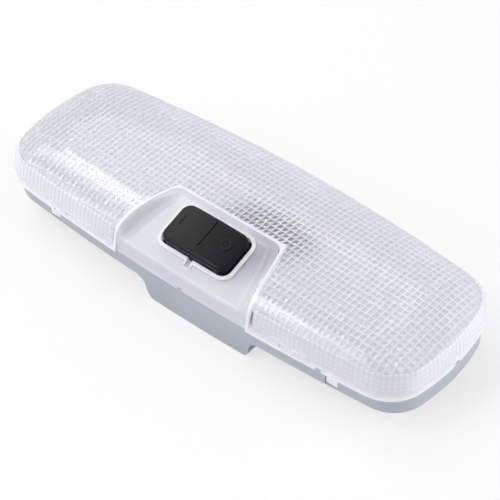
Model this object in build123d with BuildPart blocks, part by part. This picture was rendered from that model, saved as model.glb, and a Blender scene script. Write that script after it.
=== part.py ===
from build123d import *
import math
import os

# Plan of the lens rim: a barrel outline, bowed on every side, with rounded corners
lens_length = 194.0
lens_width = 72.0
front_bow = 5.0
rear_bow = 7.0
end_bow = 5.0
corner_radius = 16.0

# Dome of the lens: a drafted skirt, then a crown that follows a quarter ellipse, steeper at the front
rim_height = 16.5
skirt_height = 7.5
skirt_draft = 0.6
crown_rise = 8.4
crown_lead = 9.0
shoulder_width = 28.0
lens_wall = 1.8
dome_angles = (0, 16, 32, 48, 64, 80)

# Switch panel: a scooped facet, tilted to the front, set in a trapezoid cut-out of the lens
panel_depth = 29.0
panel_rear_width = 48.0
panel_front_width = 61.0
panel_side_bow = 0.9
panel_corner = 4.5
panel_gap = 0.3
panel_setback = 1.0
panel_wall = 1.8
panel_front_wall = 1.4
panel_edge_radius = 1.5
panel_border = 0.8
scoop_radius = 4.2
flange_wall = 1.4
facet_tilt = 16.7

# Lip round the rocker opening
lip_setback = 16.3
lip_rise = 13.2
lip_corner = 4.9
lip_wall = 1.3
lip_stand = 1.25
lip_edge_radius = 0.4
pivot_notch_width = 2.2
pivot_notch_depth = 1.8
pivot_notch_run = 3.9
spout_run = 2.8
spout_wall = 0.7
spout_drop = 0.2

# Small features along the rim
notch_width = 2.4
notch_height = 1.4
side_notch_x = 62.0
window_x = 51.0
window_width = 11.5
window_height = 1.6
window_rise = 1.0
leg_x = 66.0
leg_width = 5.0
leg_wall = 1.4
leg_drop = 7.0
leg_root = 3.0

# Housing: shallow tray with a deeper centre box
tray_gap = 0.9
tray_wall = 1.8
tray_z = 8.0
tray_overlap = 2.5
tray_end_reach = 2.2
ledge_gap = 0.3
tray_edge_radius = 0.8
box_left = -14.0
box_side_room = 3.5
box_left_ramp = 8.0
box_right_ramp = 5.5
box_rear_room = 8.8
leg_clearance = 0.3
rib_x = 9.0
rib_wall = 2.0

# Connector shroud below the tray
shroud_x = 20.0
shroud_width = 12.4
shroud_height = 5.2
shroud_wall = 1.4
shroud_depth = 11.0

# Stamped brass strips
strip_wall = 0.8
strip_width = 2.8
blade_width = 2.4
blade_pitch = 4.0
blade_reach = 5.5
slot_clearance = 0.1
feed_leg_room = 6.2
ground_leg_room = 3.8
courtesy_leg_room = 1.6
common_leg_room = 0.2
ground_bar_drop = 10.7
courtesy_bar_drop = 6.0
common_bar_drop = 1.1

# Rocker and its stem
rocker_length = 30.2
rocker_depth = 17.2
rocker_corner = 3.9
rocker_end_gap = 0.8
rocker_side_gap = 0.4
rocker_top = 3.4
rocker_skirt = 2.0
rocker_crown_radius = 160.0
rocker_edge_radius = 1.4
rocker_wall = 2.0
rocker_rib_length = 11.6
rocker_rib_width = 1.1
rocker_rib_stand = 0.35
mark_shift = 1.3
mark_stand = 0.2
mark_line = 0.7
bar_mark_x = -11.4
bar_mark_length = 4.7
ring_mark_x = 9.0
ring_mark_radius = 2.3
pivot_drop = 5.0
trunnion_radius = 1.5
trunnion_reach = 2.4
ear_half_width = 2.6
stem_radius = 3.2
stem_drop = 10.5
bore_top = 2.6
running_clearance = 0.05

# Detent plunger and spring in the stem
plunger_radius = 1.5
plunger_top = 8.2
spring_radius = 1.1
spring_wire = 0.2
spring_turns = 6

# Switch body below the panel
body_gap = 0.3
body_end_gap = 1.1
ear_gap = 0.6
body_upper = 6.2
body_wall = 1.4
bearing_wall = 2.4
body_floor = 1.2
well_length = 24.8
well_depth = 18.0
well_room = 0.8
well_wall = 1.5
well_floor = 4.0
hood_side = 2.0
hood_gap = 3.7
hood_wall = 1.8

# See-saw contact and the fixed contacts below it
contact_length = 18.0
contact_knee = 3.0
contact_width = 4.0
contact_wall = 0.6
contact_drop = 14.4
contact_rise = 0.3
contact_gap = 0.15
tongue_width = 4.0
tongue_point = 1.0
tongue_nose_radius = 0.4
tongue_gap = 2.2
pad_x = 7.5
pad_front = 2.0
pad_gap = 0.55

# Festoon bulb, held by its pointed caps in two brass leaves
bulb_setback = 19.0
bulb_rise = 9.2
bulb_length = 44.0
bulb_radius = 5.25
bulb_shoulder = 3.0
bulb_glass_wall = 0.7
cap_radius = 4.2
cap_length = 8.5
cap_point_length = 4.25
cap_solid = 7.0
cap_tip_radius = 0.9
cap_wall = 0.35
leaf_bite = 1.0
leaf_wall = 0.6
leaf_width = 8.0
leaf_head = 3.5
leaf_corner = 2.0
filament_radius = 0.45
filament_length = 16.0
lead_radius = 0.2

# Formed aluminium heat shield below the bulb
shield_length = 36.0
shield_radius = 13.0
shield_angle = 55.0
shield_wall = 0.5

# Spring steel roof clips on the rear wall
clip_x = 46.0
clip_width = 12.0
clip_wall = 0.6
clip_bulge = 2.0
clip_lift = 0.8
clip_drop = 1.9
clip_hook = 2.0
clip_bend_radius = 0.7
clip_seat = 0.1

# Places and fits that follow from the sizes above
overshoot = lens_wall / 2
cut_height = 2 * (rim_height + skirt_height + crown_rise)
wall_cut = 2 * (front_bow + lens_wall + overshoot)
panel_rear_y = panel_depth - lens_width / 2
lip_y = lip_setback - lens_width / 2
lip_length = rocker_length + 2 * (rocker_end_gap + lip_wall)
lip_depth = rocker_depth + 2 * (rocker_side_gap + lip_wall)
tray_inset = lens_wall + tray_gap
tray_floor = tray_z + tray_wall
tray_top = rim_height + tray_overlap
ledge_z = rim_height - ledge_gap
leg_inset = tray_inset + leg_clearance
clip_bottom = tray_z + clip_lift
clip_top = rim_height - clip_drop
body_length = rocker_length + 2 * (body_end_gap + body_wall)
body_depth = rocker_depth + 2 * (ear_gap + bearing_wall)
pad_drop = contact_drop + pad_gap
tongue_drop = contact_drop + tongue_gap
well_bottom = tongue_drop + contact_wall + well_room + well_floor
lip_plane = Plane(
    origin=(0, lip_y, rim_height + lip_rise),
    x_dir=(1, 0, 0),
    z_dir=(0, -math.sin(math.radians(facet_tilt)), math.cos(math.radians(facet_tilt))),
)
section_plane = lip_plane.rotated((90, 0, 0))
spout_plane = Plane(origin=lip_plane.origin, x_dir=lip_plane.y_dir, z_dir=lip_plane.x_dir)
spout_front = -lip_depth / 2 - spout_run
spout_rear = (lip_wall - lip_depth) / 2
lip_axis = Axis(lip_plane.origin, lip_plane.z_dir)
panel_under = lip_stand + panel_wall
well_rear_y = lip_plane.from_local_coords((0, well_depth / 2, -well_bottom)).Y
common_leg_y = well_rear_y + common_leg_room
courtesy_leg_y = well_rear_y + courtesy_leg_room
ground_leg_y = well_rear_y + ground_leg_room
feed_leg_y = well_rear_y + feed_leg_room
box_rear_y = well_rear_y + box_rear_room
blade_z = shroud_wall + shroud_height / 2
blade_tip_y = box_rear_y + blade_reach
blade_x = [shroud_x + blade_pitch * step for step in (-1, 0, 1)]
box_right = blade_x[-1] + box_side_room
bulb_y = lens_width / 2 - bulb_setback
bulb_z = tray_floor + bulb_rise
bulb_glass_length = bulb_length - 2 * cap_solid
leaf_x = bulb_length / 2 - leaf_bite
cap_slope = (cap_radius - cap_tip_radius) / cap_point_length
leaf_hole_radius = cap_tip_radius + cap_slope * leaf_bite + slot_clearance


def bow_sag(x, corner_x, bow):
    """Fall of a long side at x, on the circle that falls by bow at corner_x."""
    radius = (corner_x**2 + bow**2) / (2 * bow)
    return radius - math.sqrt(radius**2 - x**2)


def outline(height, inset=0.0, shift=0.0, reach=0.0):
    """Barrel outline at a height, drawn inside the rim by inset, moved to the rear by shift and longer by
    reach at its right end."""
    half_length = lens_length / 2 - inset
    half_width = lens_width / 2 - inset
    share = half_width / (lens_width / 2)
    corner_x = half_length - end_bow * share
    right_x = corner_x + reach
    front_y = shift - half_width + front_bow * share
    rear_y = shift + half_width - rear_bow * share
    right_front_y = shift - half_width + bow_sag(right_x, corner_x, front_bow * share)
    right_rear_y = shift + half_width - bow_sag(right_x, corner_x, rear_bow * share)
    with BuildSketch(Plane.XY.offset(height)) as plan:
        with BuildLine():
            ThreePointArc((-corner_x, front_y), (0, shift - half_width), (right_x, right_front_y))
            ThreePointArc((right_x, right_front_y), (half_length + reach, shift), (right_x, right_rear_y))
            ThreePointArc((right_x, right_rear_y), (0, shift + half_width), (-corner_x, rear_y))
            ThreePointArc((-corner_x, rear_y), (-half_length, shift), (-corner_x, front_y))
        make_face()
        fillet(plan.vertices(), corner_radius * share)
    return plan.sketch


def skirt_sections(wall):
    """Rim and top of the skirt, inside the outer face by wall. The front leans, the rear stays upright."""
    top = outline(rim_height + skirt_height, skirt_draft + wall, skirt_draft)
    return [outline(rim_height, wall), top]


def crown_sections(wall):
    """Sections of the crown up a quarter ellipse, inside the outer face by wall."""
    sections = []
    for angle in dome_angles:
        rise = math.sin(math.radians(angle))
        run = 1 - math.cos(math.radians(angle))
        height = rim_height + skirt_height + (crown_rise - wall) * rise
        inset = skirt_draft + wall + (shoulder_width - wall) * run
        shift = skirt_draft - crown_lead * run
        sections.append(outline(height, inset, shift))
    return sections


def trapezoid(height, margin=0.0):
    """Plan of the panel cut-out, wider at the front and bowed at the sides, grown by margin all round."""
    rear_half = panel_rear_width / 2 + margin
    front_half = panel_front_width / 2 + margin
    front_y = -lens_width / 2
    slope = (front_half - rear_half) / (panel_rear_y - front_y)
    past_y = front_y - overshoot
    past_half = front_half + slope * (front_y - past_y)
    rear_y = panel_rear_y + margin
    bowed_half = (rear_half + past_half) / 2 + panel_side_bow
    bowed_y = (rear_y + past_y) / 2
    with BuildSketch(Plane.XY.offset(height)) as plan:
        with BuildLine():
            Line((-rear_half, rear_y), (rear_half, rear_y))
            ThreePointArc((rear_half, rear_y), (bowed_half, bowed_y), (past_half, past_y))
            Line((past_half, past_y), (-past_half, past_y))
            ThreePointArc((-past_half, past_y), (-bowed_half, bowed_y), (-rear_half, rear_y))
        make_face()
        fillet(plan.vertices().group_by(Axis.Y)[-1], panel_corner)
    return plan.sketch


def side_run(x, inset):
    """Share of the long sides' bow that is used up at x, for an outline drawn inside the rim by inset."""
    share = 1 - 2 * inset / lens_width
    corner_x = lens_length / 2 - inset - end_bow * share
    return share * (x / corner_x) ** 2


def front_wall_y(x, inset):
    """Y of the front wall at x, for an outline drawn inside the rim by inset."""
    return inset - lens_width / 2 + front_bow * side_run(x, inset)


def rear_wall_y(x, inset):
    """Y of the rear wall at x, for an outline drawn inside the rim by inset."""
    return lens_width / 2 - inset - rear_bow * side_run(x, inset)


def plate(plane, points, thickness):
    """Flat strip of sheet: a polygon on a plane, as thick as the sheet along its normal."""
    with BuildPart() as sheet:
        with BuildSketch(plane):
            with BuildLine():
                Polyline(*points, close=True)
            make_face()
        extrude(amount=thickness)
    return sheet.part


def pad_height(drop, leg_y):
    """Height at which the tilted plane below the lip meets a leg."""
    tilt = math.radians(facet_tilt)
    return rim_height + lip_rise + (leg_y - lip_y) * math.tan(tilt) - drop / math.cos(tilt)


# Solid dome without its hollow, which also trims the flange and the switch panel
with BuildPart() as dome_block:
    loft(skirt_sections(0), ruled=True)
    loft(crown_sections(0))

with BuildPart() as flange:
    extrude(trapezoid(rim_height, panel_gap + flange_wall), amount=cut_height)
    add(dome_block.part, mode=Mode.INTERSECT)
    split(bisect_by=lip_plane.offset(-panel_under), keep=Keep.TOP)

# Clear lens: dome shell with the panel cut-out, its flange, snap legs, pry windows and notches
with BuildPart() as lens:
    add(dome_block.part)
    loft(skirt_sections(lens_wall), ruled=True, mode=Mode.SUBTRACT)
    loft(crown_sections(lens_wall), mode=Mode.SUBTRACT)
    add(flange.part)
    extrude(trapezoid(rim_height - overshoot, panel_gap), amount=cut_height, mode=Mode.SUBTRACT)
    for side in (-1, 1):
        leg_y = front_wall_y(leg_x, leg_inset)
        with Locations((side * leg_x, leg_y, rim_height - leg_drop)):
            Box(leg_width, leg_wall, leg_drop + leg_root, align=(Align.CENTER, Align.MIN, Align.MIN))
        with Locations((side * leg_x, leg_y + leg_wall, rim_height + leg_root)):
            root_run = leg_inset + leg_wall - lens_wall / 2
            Box(leg_width, root_run, leg_wall, align=(Align.CENTER, Align.MAX, Align.MAX))
        rear_y = rear_wall_y(leg_x, leg_inset)
        with Locations((side * leg_x, rear_y, rim_height - leg_drop)):
            Box(leg_width, leg_wall, leg_drop + leg_root, align=(Align.CENTER, Align.MAX, Align.MIN))
        with Locations((side * leg_x, rear_y - leg_wall, rim_height + leg_root)):
            Box(leg_width, root_run, leg_wall, align=(Align.CENTER, Align.MIN, Align.MAX))
        with Locations((side * window_x, -lens_width / 2, rim_height + window_rise)):
            Box(
                window_width,
                wall_cut,
                window_height,
                align=(Align.CENTER, Align.CENTER, Align.MIN),
                mode=Mode.SUBTRACT,
            )
        with Locations((side * side_notch_x, -lens_width / 2, rim_height)):
            Box(notch_width, wall_cut, notch_height * 2, mode=Mode.SUBTRACT)
        with Locations((side * lens_length / 2, 0, rim_height)):
            Box(2 * (lens_wall + overshoot), notch_width, notch_height * 2, mode=Mode.SUBTRACT)

lens.part.label = "lens"

# Space below the panel's plate and behind its front wall
with BuildPart() as panel_core:
    extrude(outline(rim_height - overshoot, panel_setback + panel_front_wall), amount=cut_height)
    split(bisect_by=lip_plane.offset(-panel_under), keep=Keep.BOTTOM)

# Hollow above the facet, with a round foot along its sides and rear
with BuildPart() as panel_scoop:
    extrude(trapezoid(rim_height, -panel_border), amount=cut_height)
    split(bisect_by=lip_plane.offset(-lip_stand), keep=Keep.TOP)
    foot = panel_scoop.faces().sort_by(lip_axis)[0].edges().sort_by(Axis.Y)
    fillet(foot[1:], scoop_radius)

# Raised block for the lip, rounded along its top edge
with BuildPart() as panel_lip:
    with BuildSketch(lip_plane.offset(-panel_under)):
        RectangleRounded(lip_length, lip_depth, lip_corner)
    extrude(amount=panel_under)
    fillet(panel_lip.faces().sort_by(lip_axis)[-1].edges(), lip_edge_radius)

# Milky switch panel: scooped facet whose border meets the dome, a front wall and a lip round the opening,
# with a short spout where the lip is notched
with BuildPart() as switch_panel:
    add(dome_block.part)
    extrude(outline(rim_height, panel_setback), amount=cut_height, mode=Mode.INTERSECT)
    extrude(trapezoid(rim_height), amount=cut_height, mode=Mode.INTERSECT)
    add(panel_scoop.part, mode=Mode.SUBTRACT)
    facet_edges = switch_panel.edges().filter_by_position(lip_axis, -lip_stand, -lip_stand)
    fillet(facet_edges.sort_by(Axis.Y)[0], panel_edge_radius)
    add(panel_core.part, mode=Mode.SUBTRACT)
    add(panel_lip.part)
    with BuildSketch(spout_plane):
        with BuildLine():
            Polyline(
                (spout_rear, -spout_drop),
                (spout_front, -lip_stand),
                (spout_front, -lip_stand - panel_wall / 2),
                (spout_rear, -lip_stand - panel_wall / 2),
                close=True,
            )
        make_face()
    extrude(amount=pivot_notch_width / 2 + spout_wall, both=True)
    with BuildSketch(lip_plane.offset(-panel_under)):
        RectangleRounded(lip_length - 2 * lip_wall, lip_depth - 2 * lip_wall, lip_corner - lip_wall)
    extrude(amount=panel_under + overshoot, mode=Mode.SUBTRACT)
    with BuildSketch(lip_plane):
        with Locations((0, -lip_depth / 2)):
            Rectangle(pivot_notch_width, pivot_notch_run)
    extrude(amount=-pivot_notch_depth, mode=Mode.SUBTRACT)
    with Locations((0, -lens_width / 2, rim_height)):
        Box(notch_width, wall_cut, notch_height * 2, mode=Mode.SUBTRACT)

switch_panel.part.label = "switch_panel"


def box_section(inset):
    """Front view of the centre box, with a ramp on each side, drawn inside its walls by inset."""
    left = box_left + inset
    right = box_right - inset
    low = inset
    high = tray_z + inset
    with BuildSketch(Plane.XZ.offset(-box_rear_y + inset)) as section:
        with BuildLine():
            Spline((left - box_left_ramp, high), (left, low), tangents=((1, 0), (1, 0)))
            Line((left, low), (right, low))
            Spline((right, low), (right + box_right_ramp, high), tangents=((1, 0), (1, 0)))
            Line((right + box_right_ramp, high), (right + box_right_ramp, high + tray_wall / 2))
            Line(
                (right + box_right_ramp, high + tray_wall / 2),
                (left - box_left_ramp, high + tray_wall / 2),
            )
            Line((left - box_left_ramp, high + tray_wall / 2), (left - box_left_ramp, high))
        make_face()
    return section.sketch


# Outer and inner form of the centre box, closed at the front by the tray's own front wall
with BuildPart() as box_outer:
    extrude(box_section(0), amount=lens_width)
    extrude(outline(-overshoot, tray_inset), amount=cut_height, mode=Mode.INTERSECT)

with BuildPart() as box_inner:
    extrude(box_section(tray_wall), amount=lens_width)
    extrude(outline(-overshoot, tray_inset + tray_wall), amount=cut_height, mode=Mode.INTERSECT)


def clip_section(side):
    """Plane across a roof clip, square to the rear wall: outwards from the wall, then up."""
    wall_y = rear_wall_y(clip_x, tray_inset)
    run = clip_width / 2
    slope = (rear_wall_y(clip_x + run, tray_inset) - rear_wall_y(clip_x - run, tray_inset)) / clip_width
    turn = math.atan(side * slope)
    along = (math.cos(turn), math.sin(turn), 0)
    outward = (-math.sin(turn), math.cos(turn), 0)
    return Plane(origin=(side * clip_x, wall_y, 0), x_dir=outward, z_dir=along)


# Light grey housing: tray with a ledge below the lens at its right end, centre box, connector shroud and
# the ribs that carry the switch body
with BuildPart() as housing:
    extrude(outline(tray_z, tray_inset, reach=tray_end_reach), amount=ledge_z - tray_z)
    fillet(housing.faces().sort_by(Axis.Z)[0].edges(), tray_edge_radius)
    extrude(outline(ledge_z, tray_inset), amount=tray_top - ledge_z)
    extrude(outline(tray_floor, tray_inset + tray_wall), amount=cut_height, mode=Mode.SUBTRACT)
    end_pocket = outline(tray_floor, tray_inset + tray_wall, reach=tray_end_reach)
    extrude(end_pocket, amount=ledge_z - tray_wall - tray_floor, mode=Mode.SUBTRACT)
    add(box_outer.part)
    add(box_inner.part, mode=Mode.SUBTRACT)
    with Locations((shroud_x, box_rear_y, 0)):
        Box(
            shroud_width + 2 * shroud_wall,
            shroud_depth,
            tray_z + tray_wall / 2,
            align=(Align.CENTER, Align.MIN, Align.MIN),
        )
    with Locations((shroud_x, box_rear_y, shroud_wall)):
        Box(
            shroud_width,
            shroud_depth + overshoot,
            shroud_height,
            align=(Align.CENTER, Align.MIN, Align.MIN),
            mode=Mode.SUBTRACT,
        )
    with Locations(*[(x, box_rear_y, blade_z) for x in blade_x]):
        Box(
            blade_width + 2 * slot_clearance,
            2 * (tray_wall + overshoot),
            strip_wall + 2 * slot_clearance,
            mode=Mode.SUBTRACT,
        )
    for side in (-1, 1):
        rib_front = lip_plane.from_local_coords((0, -well_depth / 2, -well_bottom))
        rib_rear = lip_plane.from_local_coords((0, well_depth / 2, -well_bottom))
        with BuildSketch(Plane.YZ.offset(side * rib_x - rib_wall / 2)):
            with BuildLine():
                Polyline(
                    (rib_front.Y, tray_wall / 2),
                    (rib_front.Y, rib_front.Z),
                    (rib_rear.Y, rib_rear.Z),
                    (rib_rear.Y, tray_wall / 2),
                    close=True,
                )
            make_face()
        extrude(amount=rib_wall)
        clip_plane = clip_section(side)
        with BuildSketch(clip_plane):
            with Locations((-tray_wall / 2, clip_top)):
                Rectangle(tray_wall + 2 * overshoot, clip_wall + 2 * slot_clearance)
        extrude(amount=clip_width / 2 + slot_clearance, both=True, mode=Mode.SUBTRACT)
        leg_slot = leg_width + 2 * leg_clearance
        for wall_y in (front_wall_y(leg_x, tray_inset), rear_wall_y(leg_x, tray_inset)):
            with Locations((side * leg_x, wall_y, rim_height - leg_drop - leg_clearance)):
                Box(
                    leg_slot,
                    2 * (tray_wall + overshoot),
                    cut_height,
                    align=(Align.CENTER, Align.CENTER, Align.MIN),
                    mode=Mode.SUBTRACT,
                )

housing.part.label = "housing"


def crown_height(x):
    """Height of the rocker's crowned top above the lip plane, at x."""
    return rocker_top - x**2 / (2 * rocker_crown_radius)


crown_edge = crown_height(rocker_length / 2)
cavity_top = crown_edge - rocker_wall

# Black rocker: crowned cap with a centre rib and two marks, hollow below, with a stem and two trunnions
with BuildPart() as rocker:
    with BuildSketch(lip_plane.offset(-rocker_skirt)):
        RectangleRounded(rocker_length, rocker_depth, rocker_corner)
    extrude(amount=rocker_skirt + rocker_top)
    with BuildSketch(section_plane):
        with BuildLine():
            half = rocker_length / 2
            ThreePointArc((-half, crown_edge), (0, rocker_top), (half, crown_edge))
            Polyline((half, crown_edge), (half, -stem_drop), (-half, -stem_drop), (-half, crown_edge))
        make_face()
    extrude(amount=rocker_depth, both=True, mode=Mode.INTERSECT)
    fillet(rocker.faces().sort_by(lip_axis)[-1].edges(), rocker_edge_radius)
    with BuildSketch(lip_plane.offset(-rocker_skirt)):
        RectangleRounded(
            rocker_length - 2 * rocker_wall,
            rocker_depth - 2 * rocker_wall,
            rocker_corner - rocker_wall / 2,
        )
    extrude(amount=rocker_skirt + cavity_top, mode=Mode.SUBTRACT)
    with BuildSketch(lip_plane.offset(cavity_top)):
        with Locations((0, mark_shift)):
            SlotOverall(rocker_rib_length, rocker_rib_width, rotation=90)
    extrude(amount=rocker_top - cavity_top + rocker_rib_stand)
    with BuildSketch(lip_plane.offset(cavity_top)):
        with Locations((bar_mark_x, mark_shift)):
            Rectangle(mark_line, bar_mark_length)
    extrude(amount=crown_height(bar_mark_x) - cavity_top + mark_stand)
    with BuildSketch(lip_plane.offset(cavity_top)):
        with Locations((ring_mark_x, mark_shift)):
            Circle(ring_mark_radius)
            Circle(ring_mark_radius - mark_line, mode=Mode.SUBTRACT)
    extrude(amount=crown_height(ring_mark_x) - cavity_top + mark_stand)
    with BuildSketch(lip_plane.offset(-stem_drop)):
        Circle(stem_radius)
    extrude(amount=stem_drop + cavity_top + rocker_wall / 2)
    with BuildSketch(lip_plane.offset(-stem_drop)):
        Circle(plunger_radius + running_clearance)
    extrude(amount=stem_drop - bore_top, mode=Mode.SUBTRACT)
    for side in (-1, 1):
        with BuildSketch(section_plane.offset(side * rocker_depth / 2)):
            with Locations((0, -pivot_drop)):
                Circle(ear_half_width)
                Rectangle(2 * ear_half_width, pivot_drop, align=(Align.CENTER, Align.MIN))
        extrude(amount=-side * rocker_wall)
        with BuildSketch(section_plane.offset(side * rocker_depth / 2)):
            with Locations((0, -pivot_drop)):
                Circle(trunnion_radius)
        extrude(amount=side * trunnion_reach)

rocker.part.label = "rocker"

tip_drop = contact_drop - contact_wall - contact_gap

# Round-nosed plunger that rides in the stem's bore
with BuildPart() as detent_plunger:
    with BuildSketch(section_plane):
        with BuildLine():
            Polyline((0, -tip_drop), (0, -plunger_top), (plunger_radius, -plunger_top))
            Line((plunger_radius, -plunger_top), (plunger_radius, plunger_radius - tip_drop))
            RadiusArc((plunger_radius, plunger_radius - tip_drop), (0, -tip_drop), plunger_radius)
        make_face()
    revolve(axis=lip_axis)

detent_plunger.part.label = "detent_plunger"

# Coil spring between the bore's end and the plunger
with BuildPart() as detent_spring:
    spring_end = spring_wire + running_clearance
    spring_height = plunger_top - bore_top - 2 * spring_end
    spring_base = lip_plane.from_local_coords((0, 0, spring_end - plunger_top))
    with BuildLine() as coil:
        Helix(
            spring_height / spring_turns,
            spring_height,
            spring_radius,
            center=spring_base,
            direction=lip_plane.z_dir,
        )
    with BuildSketch(Plane(origin=coil.line @ 0, z_dir=coil.line % 0)):
        Circle(spring_wire)
    sweep()

detent_spring.part.label = "detent_spring"

body_top = panel_under + body_gap
slot_width = strip_width + 2 * slot_clearance
slot_height = contact_wall + 2 * slot_clearance
hood_z = pad_height(pad_drop, ground_leg_y) + slot_clearance
hood_reach = bulb_y - bulb_radius - hood_gap - lip_y

# Black switch body: open cradle for the rocker, a well for the contacts and a hood over the terminals
with BuildPart() as switch_body:
    with BuildSketch(lip_plane.offset(-body_top)):
        RectangleRounded(body_length, body_depth, lip_corner)
    extrude(amount=-body_upper)
    with BuildSketch(lip_plane.offset(-well_bottom)):
        Rectangle(well_length, well_depth)
    extrude(amount=well_bottom - body_top - body_upper / 2)
    with Locations((0, lip_y, hood_z)):
        hood_align = (Align.MIN, Align.MIN, Align.MIN)
        Box(blade_x[-1] + hood_side, hood_reach, hood_wall, align=hood_align)
    with BuildSketch(lip_plane.offset(-body_top)):
        RectangleRounded(
            body_length - 2 * body_wall, body_depth - 2 * bearing_wall, lip_corner - body_wall
        )
    extrude(amount=body_floor - body_upper, mode=Mode.SUBTRACT)
    with BuildSketch(lip_plane.offset(-body_top)):
        Rectangle(well_length - 2 * well_wall, well_depth - 2 * well_wall)
    extrude(amount=body_top + well_floor - well_bottom, mode=Mode.SUBTRACT)
    with BuildSketch(section_plane):
        with Locations((0, -pivot_drop)):
            Circle(trunnion_radius + running_clearance)
            Rectangle(
                2 * (trunnion_radius + running_clearance), pivot_drop, align=(Align.CENTER, Align.MIN)
            )
    extrude(amount=body_depth, both=True, mode=Mode.SUBTRACT)
    with BuildSketch(section_plane.offset(-well_depth)):
        with Locations((-pad_x, -pad_drop - contact_wall / 2), (pad_x, -pad_drop - contact_wall / 2)):
            Rectangle(slot_width, slot_height)
        with Locations((0, -tongue_drop - contact_wall / 2)):
            Rectangle(slot_width, slot_height)
    extrude(amount=well_depth, mode=Mode.SUBTRACT)

switch_body.part.label = "switch_body"

# See-saw contact blade with slightly raised wings
with BuildPart() as rocker_contact:
    with BuildSketch(section_plane):
        with BuildLine():
            tip = contact_length / 2
            Polyline(
                (-tip, contact_rise - contact_drop),
                (-contact_knee, -contact_drop),
                (contact_knee, -contact_drop),
                (tip, contact_rise - contact_drop),
                (tip, contact_rise - contact_drop + contact_wall),
                (contact_knee, contact_wall - contact_drop),
                (-contact_knee, contact_wall - contact_drop),
                (-tip, contact_rise - contact_drop + contact_wall),
                close=True,
            )
        make_face()
    extrude(amount=contact_width / 2, both=True)

rocker_contact.part.label = "rocker_contact"


def pad(x, drop, leg_y):
    """Contact pad in the switch, on the tilted plane, running back through the well's wall to its leg."""
    tilt = math.radians(facet_tilt)
    reach = (leg_y - lip_y - drop * math.sin(tilt)) / math.cos(tilt)
    half = strip_width / 2
    points = [(x - half, -pad_front), (x + half, -pad_front), (x + half, reach), (x - half, reach)]
    return plate(lip_plane.offset(-drop), points, -contact_wall)


def rocking_tongue():
    """Upright tongue with a round nose, on whose centre the see-saw blade rocks."""
    half = tongue_width / 2
    foot = -tongue_drop - contact_wall
    tip = -contact_drop - contact_gap
    nose = tip - tongue_nose_radius
    with BuildPart() as sheet:
        with BuildSketch(section_plane):
            with BuildLine():
                Polyline(
                    (-half, foot),
                    (half, foot),
                    (half, tip - tongue_point),
                    (tongue_nose_radius, nose),
                    (-tongue_nose_radius, nose),
                    (-half, tip - tongue_point),
                    close=True,
                )
            make_face()
            with Locations((0, nose)):
                Circle(tongue_nose_radius)
        extrude(amount=strip_wall / 2, both=True)
    return sheet.part


def leg_with_bar(x, top, bar_drop, end_x, end_z, leg_y, end_width):
    """Upright leg that drops from a pad, runs sideways in a bar and drops again to its end."""
    half = strip_width / 2
    bar_z = top - bar_drop
    side = 1 if end_x > x else -1
    end_half = end_width / 2
    points = [
        (x - side * half, top),
        (x + side * half, top),
        (x + side * half, bar_z + half),
        (end_x + side * end_half, bar_z + half),
        (end_x + side * end_half, end_z),
        (end_x - side * end_half, end_z),
        (end_x - side * end_half, bar_z - half),
        (x - side * half, bar_z - half),
    ]
    return plate(Plane.XZ.offset(-leg_y), points, strip_wall)


def blade(x, leg_y):
    """Connector blade from its leg, through the box wall, into the shroud."""
    half = blade_width / 2
    start = leg_y - strip_wall
    points = [(x - half, start), (x + half, start), (x + half, blade_tip_y), (x - half, blade_tip_y)]
    return plate(Plane.XY.offset(blade_z - strip_wall / 2), points, strip_wall)


def bulb_leaf(side):
    """Upright brass leaf with a hole for the point of a bulb cap, on a foot beside the floor run."""
    with BuildPart() as sheet:
        with BuildSketch(Plane.YZ.offset(side * leaf_x)) as face:
            with Locations((bulb_y, tray_floor)):
                Rectangle(leaf_width, bulb_z + leaf_head - tray_floor, align=(Align.CENTER, Align.MIN))
            fillet(face.vertices().group_by(Axis.Y)[-1], leaf_corner)
            with Locations((bulb_y, bulb_z)):
                Circle(leaf_hole_radius, mode=Mode.SUBTRACT)
        extrude(amount=side * leaf_wall)
    return sheet.part


def floor_run(side, start_y):
    """Strip along the tray floor, back from a leg and then sideways to the foot of a bulb leaf."""
    start_x = side * blade_x[-1]
    rear = bulb_y + leaf_width / 2
    with BuildPart() as sheet:
        with BuildSketch(Plane.XY.offset(tray_floor)):
            with Locations((start_x, start_y)):
                Rectangle(strip_width, rear - start_y, align=(Align.CENTER, Align.MIN))
            with Locations(((start_x + side * leaf_x) / 2, rear)):
                Rectangle(abs(start_x - side * leaf_x), leaf_width, align=(Align.CENTER, Align.MAX))
        extrude(amount=strip_wall)
    return sheet.part


blade_low = blade_z - strip_wall / 2
run_top = tray_floor + strip_wall

# Feed strip: connector blade, leg over the box wall, floor run and right bulb leaf
with BuildPart() as feed_strip:
    half_strip = strip_width / 2
    add(blade(blade_x[2], feed_leg_y))
    feed_points = [
        (blade_x[2] - half_strip, blade_low),
        (blade_x[2] + half_strip, blade_low),
        (blade_x[2] + half_strip, run_top),
        (blade_x[2] - half_strip, run_top),
    ]
    add(plate(Plane.XZ.offset(-feed_leg_y), feed_points, strip_wall))
    add(floor_run(1, feed_leg_y - strip_wall))
    add(bulb_leaf(1))

feed_strip.part.label = "feed_strip"

# Courtesy strip: left switch pad to the middle connector blade
with BuildPart() as courtesy_strip:
    add(pad(-pad_x, pad_drop, courtesy_leg_y))
    courtesy_top = pad_height(pad_drop, courtesy_leg_y)
    add(
        leg_with_bar(
            -pad_x, courtesy_top, courtesy_bar_drop, blade_x[1], blade_low, courtesy_leg_y, blade_width
        )
    )
    add(blade(blade_x[1], courtesy_leg_y))

courtesy_strip.part.label = "courtesy_strip"

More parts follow.
